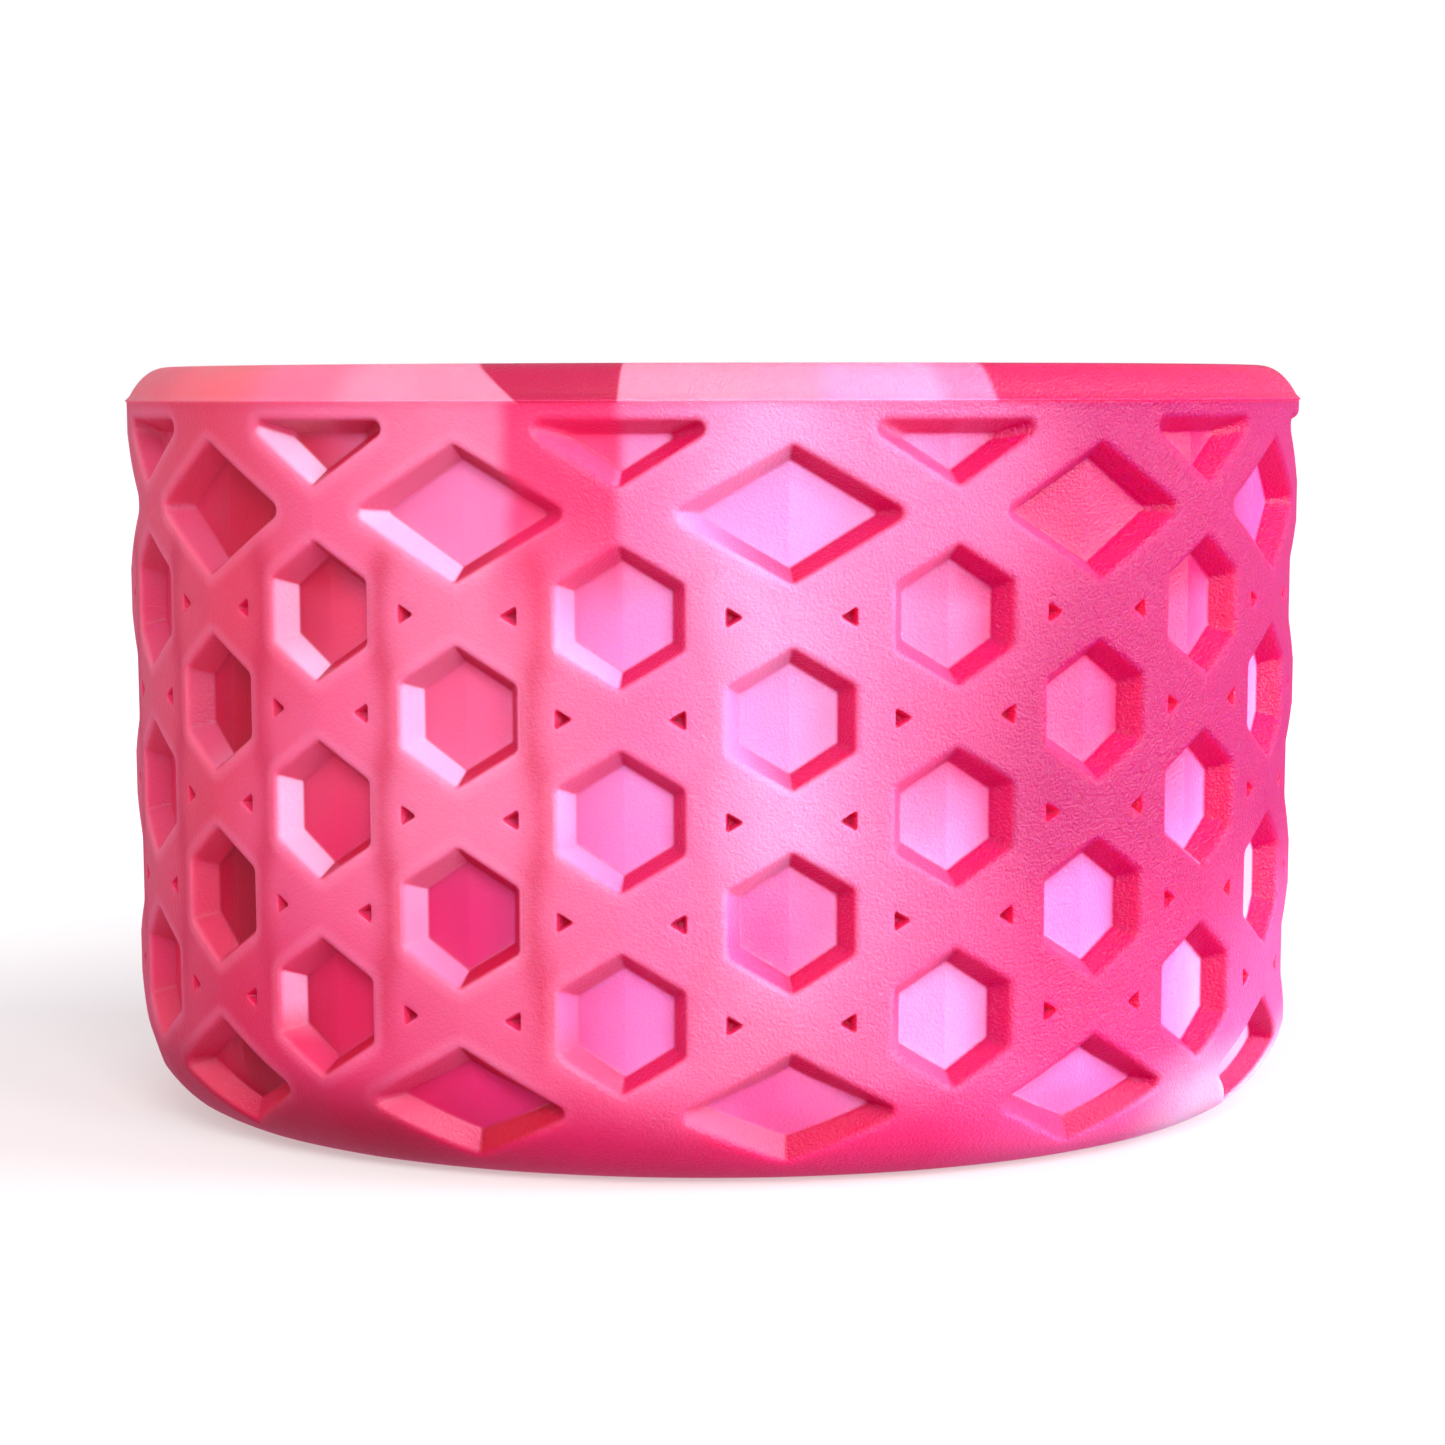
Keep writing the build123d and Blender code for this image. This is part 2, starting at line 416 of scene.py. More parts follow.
def pocket(sides, side, down):
    """Loft one pocket's right or left half and fill its floor."""
    rings = []
    for inset, depth in POCKET:
        ring = placed(half_ring(sides, inset, max(TIGHTEST, CORNER_ROUND - inset)), side, down)
        ring[0] = (PITCH * side, ring[0][1])
        ring[-1] = (PITCH * side, ring[-1][1])
        soft = LAND_FACET + (1 - LAND_FACET) * min(1, depth / FULL_FACET_DEPTH)
        rings.append((add_points(ring, depth, soft), ring))
    for (upper, _), (lower, _) in zip(rings, rings[1:]):
        bridge(upper, lower)
    loops.append(rings[0][0])
    holes.append(rings[0][1])
    floor_numbers, floor_ring = rings[-1]
    xs, ys = [p[0] for p in floor_ring], [p[1] for p in floor_ring]
    middle_line = [floor_numbers[0]]
    runs = max(2, int((max(ys) - min(ys)) / 0.8))
    for i in range(1, runs):
        middle_line.append(len(points))
        y = floor_ring[0][1] + (floor_ring[-1][1] - floor_ring[0][1]) * i / runs
        points.append((PITCH * side, y, POCKET[-1][1], 1.0))
    middle_line.append(floor_numbers[-1])
    room = ((min(xs), min(ys)), (max(xs), max(ys)))
    fill([floor_numbers, middle_line], room, FLOOR_GAP, POCKET[-1][1], 1.0,
         lambda x, y: inside(x, y, floor_ring))


# %% The eight half pockets of the strip
WIDE = diamond(7.45, 4.2)
FOOT = diamond(7.21, 3.95)
FOOT_DOWN = 42.05
pocket(WIDE, 0, level_down(1))
pocket(hexagon(), 0, level_down(3))
pocket(hexagon(), 0, level_down(5))
pocket(FOOT, 0, FOOT_DOWN)
pocket(cut_diamond(), 1, level_down(0))
for level in (2, 4, 6):
    pocket(hexagon(), 1, level_down(level))
POCKET_COUNT = len(holes)
print("pockets:", len(points), "points", len(faces), "faces")

# %% [markdown]
# ## Dimples
#
# The dimples lie wholly inside the strip, so they are closed rings with a small flat bottom.

# %% The dimple's three sides
DIMPLE_APEX = 2.86
DIMPLE_JAMB = 3.93
DIMPLE_MIDDLE = DIMPLE_APEX + (DIMPLE_JAMB - DIMPLE_APEX) * 0.62
DIMPLE_ROUND = 0.13


def dimple_sides():
    """Sides of the triangle, about a point inside it."""
    half = (DIMPLE_JAMB - DIMPLE_APEX) * tan(radians(SLOPE)) * 0.98
    jamb = DIMPLE_JAMB - DIMPLE_MIDDLE
    corners = [(jamb, half), (jamb, -half), (DIMPLE_APEX - DIMPLE_MIDDLE, 0)]
    sides = []
    for (x0, y0), (x1, y1) in zip(corners, corners[1:] + corners[:1]):
        normal = Vector((y0 - y1, x1 - x0)).normalized()
        distance = normal.dot(Vector((x0, y0)))
        if distance < 0:
            normal, distance = -normal, -distance
        sides.append((degrees(atan2(normal.y, normal.x)), distance))
    return sides


print("dimple", round(DIMPLE_JAMB - DIMPLE_APEX, 2), "mm wide")

# %% Dimples beside the crossings


def dimple(side, down):
    """Loft one triangular dimple that points at the crossing on the strip's left or right edge."""
    sides, middle = dimple_sides(), DIMPLE_MIDDLE
    rings = []
    for inset, depth in DIMPLE:
        shifted = [(turn, distance - inset) for turn, distance in sides]
        ring = []
        for one, two in zip(shifted, shifted[1:] + shifted[:1]):
            turn = (two[0] - one[0] + 180) % 360 - 180
            run = rounded(meet(one, two), one[0], one[0] + turn,
                          max(0.05, DIMPLE_ROUND - inset * 0.5), "whole")
            if ring:
                ring.append(ring[-1].lerp(run[0], 0.5))
            ring += run
        ring.append(ring[-1].lerp(ring[0], 0.5))
        flat = [((middle + p.x) if side == 0 else PITCH - middle - p.x, down - p.y) for p in ring]
        rings.append((add_points(flat, depth, LAND_FACET), flat))
    for (upper, _), (lower, _) in zip(rings, rings[1:]):
        bridge(upper, lower, closed=True)
    faces.append(tuple(rings[-1][0]))
    loops.append(rings[0][0] + rings[0][0][:1])
    holes.append(rings[0][1])


dimple_start = len(points)
for level in (2, 4, 6):
    dimple(0, level_down(level))
for level in (3, 5):
    dimple(1, level_down(level))
dimple_end = len(points)
print("with dimples:", len(points), "points", len(faces), "faces")

# %% [markdown]
# ## Filling the straps
#
# What is left of the strip is the straps. Their borders are the parting line at the top, the end of the
# base corner at the bottom, the two middle lines, and the outer ring of every pocket.

# %% Border and fill
STRAP_GAP = 0.6
top_row = add_points([(PITCH * i / STRIP_STEPS, 0.0) for i in range(STRIP_STEPS + 1)], 0, LAND_FACET)
low_row = add_points([(PITCH * i / STRIP_STEPS, WALL_END) for i in range(STRIP_STEPS + 1)], 0, LAND_FACET)
for side in (0, 1):
    ends = [(0.0, (top_row[0], top_row[-1])[side]), (WALL_END, (low_row[0], low_row[-1])[side])]
    stops = sorted([(points[n][1], n) for chain in loops for n in (chain[0], chain[-1])
                    if abs(points[n][0] - PITCH * side) < 1e-9] + ends)
    for (y0, n0), (y1, n1) in zip(stops[::2], stops[1::2]):
        steps = max(1, round((y1 - y0) / STRAP_GAP))
        chain = [n0] + add_points([(PITCH * side, y0 + (y1 - y0) * i / steps) for i in range(1, steps)],
                                  0, LAND_FACET) + [n1]
        loops.append(chain)


def on_strap(x, y):
    """Whether a point of the strip lies outside every pocket."""
    return not any(inside(x, y, hole) for hole in holes)


fill(loops + [top_row, low_row], ((0, 0), (PITCH, WALL_END)), STRAP_GAP, 0, LAND_FACET, on_strap)
print("one strip:", len(points), "points", len(faces), "faces")

# %% [markdown]
# ## Marks for the colour and its painted light and shade
#
# The finish paints light and shade into the lattice. Painted shade goes in the dimples, on walls that face
# away and in a wavy line between two columns. Painted light goes on the floors, on walls that face the lamps
# and along
# the strap edges. So it needs to know where a point lies in the lattice, and five marks are kept for every
# point:
# how far it is down a pocket, whether it is on a pocket's slanting wall, how far it is from the nearest
# pocket if it is on a strap, how close it is to the wavy line of painted shade between two columns, and
# whether it is in a dimple.

# %% Marks of depth, wall, strap, painted column shade and dimple
strip = np.array(points)
depths = strip[:, 2] / POCKET[-1][1]
on_wall = np.clip((strip[:, 2] - 0.05) / 0.2, 0, 1) * np.clip((1.5 - strip[:, 2]) / 0.12, 0, 1)
outer_rings = []
for hole in holes[:POCKET_COUNT]:
    outer_rings += [Vector(p).lerp(Vector(q), t) for p, q in zip(hole, hole[1:]) for t in (0, 0.5)]
outer_rings = np.array([tuple(p) for p in outer_rings])
away = np.array([np.hypot(*(outer_rings - p[:2]).T).min() for p in strip])
# Painted shade: a wavy dark line runs down the straps between two columns; these numbers set its sway and
# width.
SHADE_LINE_SWAY, SHADE_LINE_WIDTH = 0.6, 1.05
column_shade_line = PITCH / 2 + SHADE_LINE_SWAY * np.cos((strip[:, 1] - 0.5) * pi / LEVEL)
painted_column_shade = np.exp(-((strip[:, 0] - column_shade_line) / SHADE_LINE_WIDTH) ** 2)
painted_column_shade *= ((strip[:, 2] < 0.02) * np.clip((strip[:, 1] - 6) / 4, 0, 1)
               * np.clip((40 - strip[:, 1]) / 4, 0, 1))
number = np.arange(len(points))
in_dimple = (number >= dimple_start) * (number < dimple_end) * (strip[:, 2] > 0.05)
on_strap_only = np.where(strip[:, 2] > 0.02, 0, away)
strip_marks = {"pocket_depth": depths, "pocket_wall": on_wall, "strap_middle": on_strap_only,
               "painted_column_shade": painted_column_shade, "dimple_inside": in_dimple.astype(float)}
print("widest strap half:", round(float(strip_marks["strap_middle"].max()), 2), "mm")

# %% [markdown]
# ## Turning the strip into a wall
#
# Each copy of the strip is rolled onto the drum: across becomes a turn about the axis, down follows the
# wall path, and depth goes straight in from the surface. The facets fade out where the base corner runs
# under, so the sleeve stands on a round ring.

# %% Roll the strips round the drum
radius, height, out_r, out_z = wall_path(strip[:, 1])
fade = np.clip((WALL_END - strip[:, 1]) / 6.0, 0, 1) * np.clip(strip[:, 1] / 1.5, 0, 1)
strength = np.where(strip[:, 2] > 0.9, np.clip((WALL_END - strip[:, 1]) / 6.0, 0, 1), fade) * strip[:, 3]
strip_r = (radius - strip[:, 2] * out_r) * facet(strip[:, 0], strength)
strip_z = height - strip[:, 2] * out_z
strip_turn = strip[:, 0] / OUTER_R
all_points, all_faces = [], []
for number in range(COLUMNS):
    start = radians(7.5) + number * 2 * HALF_TURN
    turn = start + (strip_turn if number % 2 == 0 else 2 * HALF_TURN - strip_turn)
    base = sum(len(p) for p in all_points)
    all_points.append(np.stack([strip_r * np.sin(turn), -strip_r * np.cos(turn), strip_z], 1))
    for face in faces:
        order = face if number % 2 == 0 else face[::-1]
        all_faces.append(tuple(base + n for n in order))
print("the wall:", sum(len(p) for p in all_points), "points", len(all_faces), "faces")

# %% [markdown]
# ## Lip, bore and underside
#
# Everything that isn't lattice is turned: the flash and the rolled lip, the bore that grips the bottle, the
# seat, and the underside with its shallow recess. Each is a profile of (radius, height) points, and every
# profile has as many points round as the wall has, so the seams weld point to point.

# %% Profile of the flash and the lip
ROUND = STRIP_STEPS * COLUMNS
LIP_WIDTH = 2.75
LIP_LEAN = 1.05


def lip_profile():
    """From the parting line over the flash and the rolled lip to the bore."""
    profile = [(OUTER_R + 0.02, PARTING_Z + 0.03), (OUTER_R + FLASH_PROUD, PARTING_Z + 0.1),
               (OUTER_R + 0.02, PARTING_Z + 0.18)]
    start, bend, end = (OUTER_R, PARTING_Z), (OUTER_R - LIP_LEAN, HEIGHT), (OUTER_R - LIP_WIDTH, HEIGHT)
    for t in np.linspace(0.09, 1, 16):
        a, b, c = (1 - t) ** 2, 2 * t * (1 - t), t * t
        profile.append(tuple(a * p + b * q + c * r for p, q, r in zip(start, bend, end)))
    profile.append((BORE_R + 0.06, HEIGHT - 0.07))
    profile.append((BORE_R, HEIGHT - 0.3))
    return profile


print("lip profile:", len(lip_profile()), "points")

# %% Profiles of the bore and the underside


def bore_profile():
    """From the lip down the bore, round the seat corner and in to the middle of the floor."""
    low = FLOOR + SEAT_CORNER
    profile = [(BORE_R, z) for z in np.linspace(HEIGHT - 1.2, low, 22)]
    for turn in np.linspace(0, pi / 2, 9)[1:]:
        profile.append((BORE_R - SEAT_CORNER * (1 - cos(turn)), low - SEAT_CORNER * sin(turn)))
    return profile + [(r, FLOOR) for r in np.linspace(BORE_R - SEAT_CORNER, 1.5, 14)[1:]]


def underside_profile():
    """From the end of the base corner in over the standing ring and the recess."""
    foot = float(wall_path(WALL_END)[0])
    profile = [(r, 0.0) for r in np.linspace(foot, RECESS_R + 0.4, 5)[1:]]
    for turn in np.linspace(0, pi / 2, 4)[1:]:
        profile.append((RECESS_R + 0.4 - 0.4 * sin(turn), 0.4 * (1 - cos(turn))))
    return profile + [(r, RECESS_DEPTH) for r in np.linspace(RECESS_R - 0.2, 1.5, 12)]


print("bore", len(bore_profile()), "points, underside", len(underside_profile()), "points")

# %% Turn the profiles onto the wall


def turned(profile, first_ring):
    """Ring after ring from a profile, joined to a ring of points that exists already."""
    turns = radians(7.5) + np.arange(ROUND) * 2 * pi / ROUND
    previous = first_ring
    for r, z in profile:
        base = sum(len(p) for p in all_points)
        all_points.append(np.stack([r * np.sin(turns), -r * np.cos(turns), np.full(ROUND, z)], 1))
        ring = list(range(base, base + ROUND))
        for i in range(ROUND):
            j = (i + 1) % ROUND
            all_faces.append((previous[i], previous[j], ring[j], ring[i]))
        previous = ring
    base = sum(len(p) for p in all_points)
    all_points.append(np.array([[0.0, 0.0, profile[-1][1]]]))
    for i in range(ROUND):
        all_faces.append((previous[i], previous[(i + 1) % ROUND], base))


def wall_row(numbers):
    """The wall's own points along one row, once round."""
    ring = []
    for number in range(COLUMNS):
        base = number * len(points)
        row = numbers[:-1] if number % 2 == 0 else numbers[:0:-1]
        ring += [base + n for n in row]
    return ring


turned(lip_profile() + bore_profile(), wall_row(top_row))
turned(underside_profile(), wall_row(low_row))
print("whole sleeve:", sum(len(p) for p in all_points), "points")

# %% [markdown]
# ## One closed skin
#
# The strips share their edge points, so those are welded. A closed skin matters here: light travels through
# the silicone, and a hole would let it leak. The weld is checked by counting edges that don't have two
# faces.

# %% Weld, orient and smooth
WELD = 0.004 * MM
mesh = bpy.data.meshes.new("sleeve")
mesh.from_pydata((np.concatenate(all_points) * MM).tolist(), [], all_faces)
for name, values in strip_marks.items():
    marks = np.zeros(len(mesh.vertices), np.float32)
    marks[:COLUMNS * len(points)] = np.tile(values, COLUMNS)
    mesh.attributes.new(name, "FLOAT", "POINT").data.foreach_set("value", marks)
skin = bmesh.new()
skin.from_mesh(mesh)
bmesh.ops.remove_doubles(skin, verts=skin.verts[:], dist=WELD)
bmesh.ops.recalc_face_normals(skin, faces=skin.faces[:])
open_edges = sum(len(e.link_faces) != 2 for e in skin.edges)
for face in skin.faces:
    face.smooth = True
creases = 0
for edge in skin.edges:
    middle = (edge.verts[0].co + edge.verts[1].co) / 2
    turn = (degrees(atan2(middle.x, -middle.y)) - 7.5) % 15
    along = abs(edge.verts[0].co.z - edge.verts[1].co.z) > 0.02 * MM
    if min(turn, 15 - turn) < 0.01 and along and edge.calc_face_angle(0) > radians(3) and hypot(
            middle.x, middle.y) > (BORE_R + 0.5) * MM:
        edge.smooth = False
        creases += 1
skin.to_mesh(mesh)
skin.free()
print("open edges:", open_edges, "creased edges:", creases, "points:", len(mesh.vertices))

# %% [markdown]
# ## Which way each point faces
#
# The side walls of a pocket are painted by the way they face: painted light on the ones that face the lamps,
# and painted shade on the ones that face away. Two more marks keep how far a point of the skin faces round
# the drum and how far it faces up.

# %% Marks of facing
outward = np.zeros(len(mesh.vertices) * 3, np.float32)
mesh.vertices.foreach_get("normal", outward)
outward = outward.reshape(-1, 3)
at = np.zeros(len(mesh.vertices) * 3, np.float32)
mesh.vertices.foreach_get("co", at)
at = at.reshape(-1, 3)
around = np.hypot(at[:, 0], at[:, 1]) + 1e-9
mesh.attributes.new("wall_lean", "FLOAT", "POINT").data.foreach_set(
    "value", (outward[:, 1] * at[:, 0] - outward[:, 0] * at[:, 1]) / around)
mesh.attributes.new("wall_tilt", "FLOAT", "POINT").data.foreach_set("value", outward[:, 2].copy())
sleeve = bpy.data.objects.new("sleeve", mesh)
bpy.context.scene.collection.objects.link(sleeve)
print("facing round from", round(float(outward[:, 0].min()), 2), "to", round(float(outward[:, 0].max()), 2))

# %% [markdown]
# ## Shader sums as plain sums
#
# A material is a recipe of nodes, and arithmetic on nodes is tedious to wire by hand. This small class
# wraps one output of a node, so that a sum of values adds the Math nodes by itself.

# %% The value class


class Value:
    """A number that varies over the surface; plain arithmetic on it adds Math nodes."""

    def __init__(self, palette, socket):
        self.palette, self.socket = palette, socket

    def _sum(self, operation, a, b=0.0):
        return self.palette.node("ShaderNodeMath", {"operation": operation}, {0: a, 1: b})

    def __add__(self, other):
        return self._sum("ADD", self, other)

    def __radd__(self, other):
        return self._sum("ADD", other, self)

    def __sub__(self, other):
        return self._sum("SUBTRACT", self, other)

    def __rsub__(self, other):
        return self._sum("SUBTRACT", other, self)

    def __mul__(self, other):
        return self._sum("MULTIPLY", self, other)

    def __rmul__(self, other):
        return self._sum("MULTIPLY", other, self)

    def __truediv__(self, other):
        return self._sum("DIVIDE", self, other)

    def __rtruediv__(self, other):
        return self._sum("DIVIDE", other, self)


print("sums are ready")

# %% The palette: one class that adds any node


class Palette:
    """The nodes that make one material's finish, or the room's light."""

    def __init__(self, owner):
        self.owner = owner
        self.owner.use_nodes = True
        self.tree = owner.node_tree
        self.shader = self.tree.nodes.get("Principled BSDF") or self.tree.nodes.get("Background")

    def node(self, kind, settings=None, sockets=None, out=0):
        """Add a node: its settings first, then the values or links of its sockets."""
        node = self.tree.nodes.new(kind)
        for name, value in (settings or {}).items():
            setattr(node, name, value)
        for name, value in (sockets or {}).items():
            self.feed(node.inputs[name], value)
        return Value(self, node.outputs[out])

    def feed(self, socket, value):
        """Set a socket's value, or link it."""
        if isinstance(value, Value):
            self.tree.links.new(value.socket, socket)
        else:
            socket.default_value = value

    def ramp(self, value, low, high):
        """0 below low, 1 above high, and a soft rise between; low may be the larger."""
        settings = {"interpolation_type": "SMOOTHSTEP"}
        return self.node("ShaderNodeMapRange", settings, {0: value, 1: low, 2: high, 3: 0.0, 4: 1.0})

    def noise(self, where, scale, detail=2.0, roughness=0.5):
        """Cloudy noise about 0.5."""
        return self.node("ShaderNodeTexNoise", {}, {"Vector": where, "Scale": scale, "Detail": detail,
                                                    "Roughness": roughness})

    def mark(self, name):
        """One of the marks kept on the mesh's points."""
        return self.node("ShaderNodeAttribute", {"attribute_name": name}, {}, 2)

    def blend(self, under, over, amount):
        """One colour laid over another."""
        return self.node("ShaderNodeMix", {"data_type": "RGBA"}, {0: amount, 6: under, 7: over}, 2)


def tint(red, green, blue):
    """A colour from its screen values, 0 to 255."""
    linear = [((c / 255 + 0.055) / 1.055) ** 2.4 if c > 10 else c / 255 / 12.92 for c in (red, green, blue)]
    return (*linear, 1.0)


print("mid grey is", round(tint(128, 128, 128)[0], 3))

# %% [markdown]
# ## Marbled silicone
#
# The colours were pressed in side by side: coral on the left, then rose, a pale blush and hot pink on the
# right, with a crimson patch at the rim. Each charge ends along a line that wanders a little, so its mask
# is a soft step on the azimuth, with noise added to the azimuth first. Painted light and shade lie over these
# charges: the pale blush at the front is partly a painted sheen, and the pocket floors, pocket walls, strap
# edges, dimples and base band carry painted light and painted shade. The silicone is translucent, so most
# of its look comes from light that travels through it: subsurface scattering, with red reaching furthest.

# %% Where a point is
silicone = Palette(bpy.data.materials.new("marbled_silicone"))
where = silicone.node("ShaderNodeTexCoord", {}, {}, 3)
x = silicone.node("ShaderNodeSeparateXYZ", {}, {0: where})
y, z = (Value(silicone, x.socket.node.outputs[i]) for i in (1, 2))
turn = silicone.node("ShaderNodeMath", {"operation": "ARCTAN2"}, {0: x, 1: -1.0 * y}) * (180 / pi)
rise = z / MM
wander = (silicone.noise(where, 90.0, 2.0) - 0.5) * 10.0
wide_wander = (silicone.noise(where, 38.0, 1.0) - 0.5) * 26.0
drift = turn + wide_wander
depth, wall = silicone.mark("pocket_depth"), silicone.mark("pocket_wall")
strap, gap = silicone.mark("strap_middle"), silicone.mark("painted_column_shade")
lean, tilt, dimple_shade = (silicone.mark(name) for name in ("wall_lean", "wall_tilt", "dimple_inside"))
print("marks in use:", list(strip_marks))

# %% [markdown]
# ## Laying out a band of colours
#
# Each layer is a row of colours round the sleeve, from the left side over the front to the right, with soft
# steps between them. The back closes the row with its own two charges.

# %% Colours round the sleeve


def round_row(stops, place=drift, soft=9.0):
    """Colours round the sleeve; each stop is (azimuth where it starts, colour)."""
    row = stops[0][1]
    for start, colour in stops[1:]:
        row = silicone.blend(row, colour, silicone.ramp(place, start - soft, start + soft))
    return row


print("rows of colour are ready")

# %% Colours of the straps
# The strap rows are the marbled charges; the pale blush at the front of the upper row is also a painted
# sheen.
straps_high = round_row([(-180, tint(224, 90, 120)), (-60, tint(224, 76, 108)), (-45, tint(233, 104, 148)),
                         (-30, tint(233, 130, 168)), (-12, tint(235, 112, 166)), (2, tint(233, 163, 208)),
                         (14, tint(222, 104, 158)), (27, tint(172, 2, 98)), (60, tint(174, 6, 100)),
                         (110, tint(231, 96, 165)), (155, tint(226, 92, 130))])
straps_low = round_row([(-180, tint(212, 70, 105)), (-60, tint(210, 40, 90)), (-45, tint(224, 64, 120)),
                        (-30, tint(224, 95, 140)), (-12, tint(231, 112, 160)), (2, tint(226, 104, 148)),
                        (14, tint(220, 86, 145)), (27, tint(209, 35, 118)), (60, tint(221, 90, 160)),
                        (110, tint(226, 80, 150)), (155, tint(216, 75, 115))])
straps = silicone.blend(straps_high, straps_low, silicone.ramp(rise + wander, 22.0, 6.0))
print("strap colour nodes:", len(silicone.tree.nodes))

# %% Painted light, shade and reflection of the pocket floors
# Painted light: the floors are painted in dark shade on the left, where they face away from the lamps, and
# pale lilac as a painted reflection of the lamps at the front and right.
floor_lighting_top = round_row([(-180, tint(212, 50, 95)), (-60, tint(195, 25, 65)), (-32, tint(233, 132, 185)),
                        (0, tint(233, 152, 212)), (21, tint(190, 0, 96)), (60, tint(226, 90, 170)),
                        (110, tint(226, 70, 140)), (155, tint(214, 50, 100))])
floor_lighting_high = round_row([(-180, tint(212, 50, 95)), (-60, tint(180, 8, 50)), (-42, tint(231, 82, 125)),
                         (-28, tint(231, 103, 150)), (-14, tint(235, 143, 208)), (0, tint(235, 155, 212)),
                         (14, tint(233, 138, 190)), (24, tint(231, 84, 145)), (34, tint(226, 62, 130)),
                         (56, tint(235, 135, 205)), (70, tint(237, 180, 240)), (96, tint(226, 70, 140)),
                         (155, tint(214, 50, 100))])
floor_lighting_low = round_row([(-180, tint(215, 40, 85)), (-60, tint(160, 0, 38)), (-42, tint(218, 36, 98)),
                        (-28, tint(209, 46, 118)), (-14, tint(235, 130, 200)), (0, tint(233, 98, 165)),
                        (15, tint(235, 150, 205)), (30, tint(232, 120, 190)), (45, tint(231, 110, 185)),
                        (60, tint(237, 190, 242)), (96, tint(221, 60, 130)), (155, tint(220, 42, 92))])
floors = silicone.blend(floor_lighting_high, floor_lighting_low, silicone.ramp(rise + wander, 26.0, 16.0))
floors = silicone.blend(floors, floor_lighting_top, silicone.ramp(rise + wander * 0.3, 34.0, 36.5))
print("floor colour nodes:", len(silicone.tree.nodes))

# %% [markdown]
# ## Walls of the pockets
#
# A wall that faces the light side is painted pale as painted light, one that faces away is painted in deep
# shade, and one that faces down gets a painted half shade between. The two facing marks choose among three
# rows of colour.

# %% Painted light and shade of the pocket walls
walls_in_painted_shade = round_row([(-180, tint(215, 30, 80)), (-50, tint(190, 0, 48)), (-15, tint(208, 6, 84)),
                        (20, tint(206, 0, 94)), (120, tint(212, 30, 95))])
lit_walls_high = round_row([(-180, tint(216, 60, 110)), (-70, tint(212, 80, 120)), (-48, tint(237, 190, 225)),
                       (-28, tint(237, 182, 226)), (-12, tint(235, 160, 226)), (4, tint(231, 70, 130)),
                       (26, tint(215, 50, 115)), (56, tint(235, 175, 235)), (96, tint(221, 60, 120))])
lit_walls_low = round_row([(-180, tint(216, 60, 110)), (-70, tint(215, 60, 100)), (-48, tint(235, 165, 205)),
                      (-28, tint(229, 120, 178)), (-12, tint(230, 96, 172)), (4, tint(226, 56, 118)),
                      (26, tint(215, 50, 115)), (56, tint(237, 200, 245)), (96, tint(221, 60, 120))])
walls_in_painted_light = silicone.blend(lit_walls_high, lit_walls_low, silicone.ramp(rise + wander, 26.0, 12.0))
walls_in_painted_half_shade = silicone.blend(straps, walls_in_painted_shade, 0.25)
# Painted shade on walls that face away, painted half shade on walls that face down, painted light on walls
# that face the lamps.
walls = silicone.blend(walls_in_painted_shade, walls_in_painted_half_shade, silicone.ramp(lean, -0.2, 0.3))
facing = silicone.ramp(lean + tilt * 0.6, 0.3, 0.75) * silicone.ramp(rise, 7.5, 10.5)
walls = silicone.blend(walls, walls_in_painted_light, facing)
print("colour nodes:", len(silicone.tree.nodes))

# %% [markdown]
# ## Rim, crimson patch and base
# The rim band was pressed in the upper half of the mould, so its colours meet along sharper edges than
# those of the wall below. A crimson charge sits in it. Its right edge runs straight down a facet's edge and
# its left edge slants and wanders. Below the parting line it thins out into the pink. The bottom edge of
# the wall is painted a deeper rose as painted shade where it turns under, with a pale painted sheen at its
# front right.

# %% Colours of the rim band
rim = round_row([(-180, tint(233, 110, 130)), (-60, tint(241, 118, 134)), (-47, tint(242, 124, 158)),
                 (-34, tint(242, 148, 178))], turn + wander, 3.0)
rim_front = round_row([(-30, tint(242, 142, 172)), (3.6, tint(241, 140, 174)), (10, tint(242, 146, 190)),
                       (20.6, tint(241, 118, 165))], turn + wander * 0.25, 1.3)
rim_front = silicone.blend(rim_front, tint(206, 22, 90), silicone.ramp(turn + wander * 0.3, 25.0, 25.8))
rim_front = silicone.blend(rim_front, tint(232, 62, 124), silicone.ramp(drift, 105.0, 120.0))
rim = silicone.blend(rim, rim_front, silicone.ramp(turn, -28.0, -25.0))
rim = silicone.blend(rim, tint(238, 92, 125), silicone.ramp(drift, 145.0, 160.0))
print("rim colour nodes:", len(silicone.tree.nodes))

# %% The crimson patch
CRIMSON = tint(186, 30, 80)
RIM_LOW = 46.7
slant = (rise - RIM_LOW) * 2.2
patch = silicone.ramp(turn + slant + wander * 0.35, -16.9, -16.3) * silicone.ramp(turn, -7.3, -7.7)
patch_low = silicone.ramp(turn + wander * 0.5, -19.5, -17.0) * silicone.ramp(turn, -6.6, -8.4)
patch_low = patch_low * silicone.ramp(rise + wander, 32.0, 42.0) * 0.8
print("patch colour nodes:", len(silicone.tree.nodes))

# %% Painted shade at the base and between columns, painted highlights at pocket edges
# Painted shade: the base band is deeper rose where the wall turns under, with a pale painted sheen at its
# front right.
base_shade_and_sheen_row = round_row([(-180, tint(200, 40, 90)), (-85, tint(172, 6, 60)), (-24, tint(218, 30, 104)),
                      (0, tint(236, 44, 124)), (30, tint(244, 96, 168)), (52, tint(252, 212, 250)),
                      (110, tint(225, 60, 120))])
painted_base_shade = silicone.ramp(rise + wander * 0.3, 8.0, 2.5) * 0.95
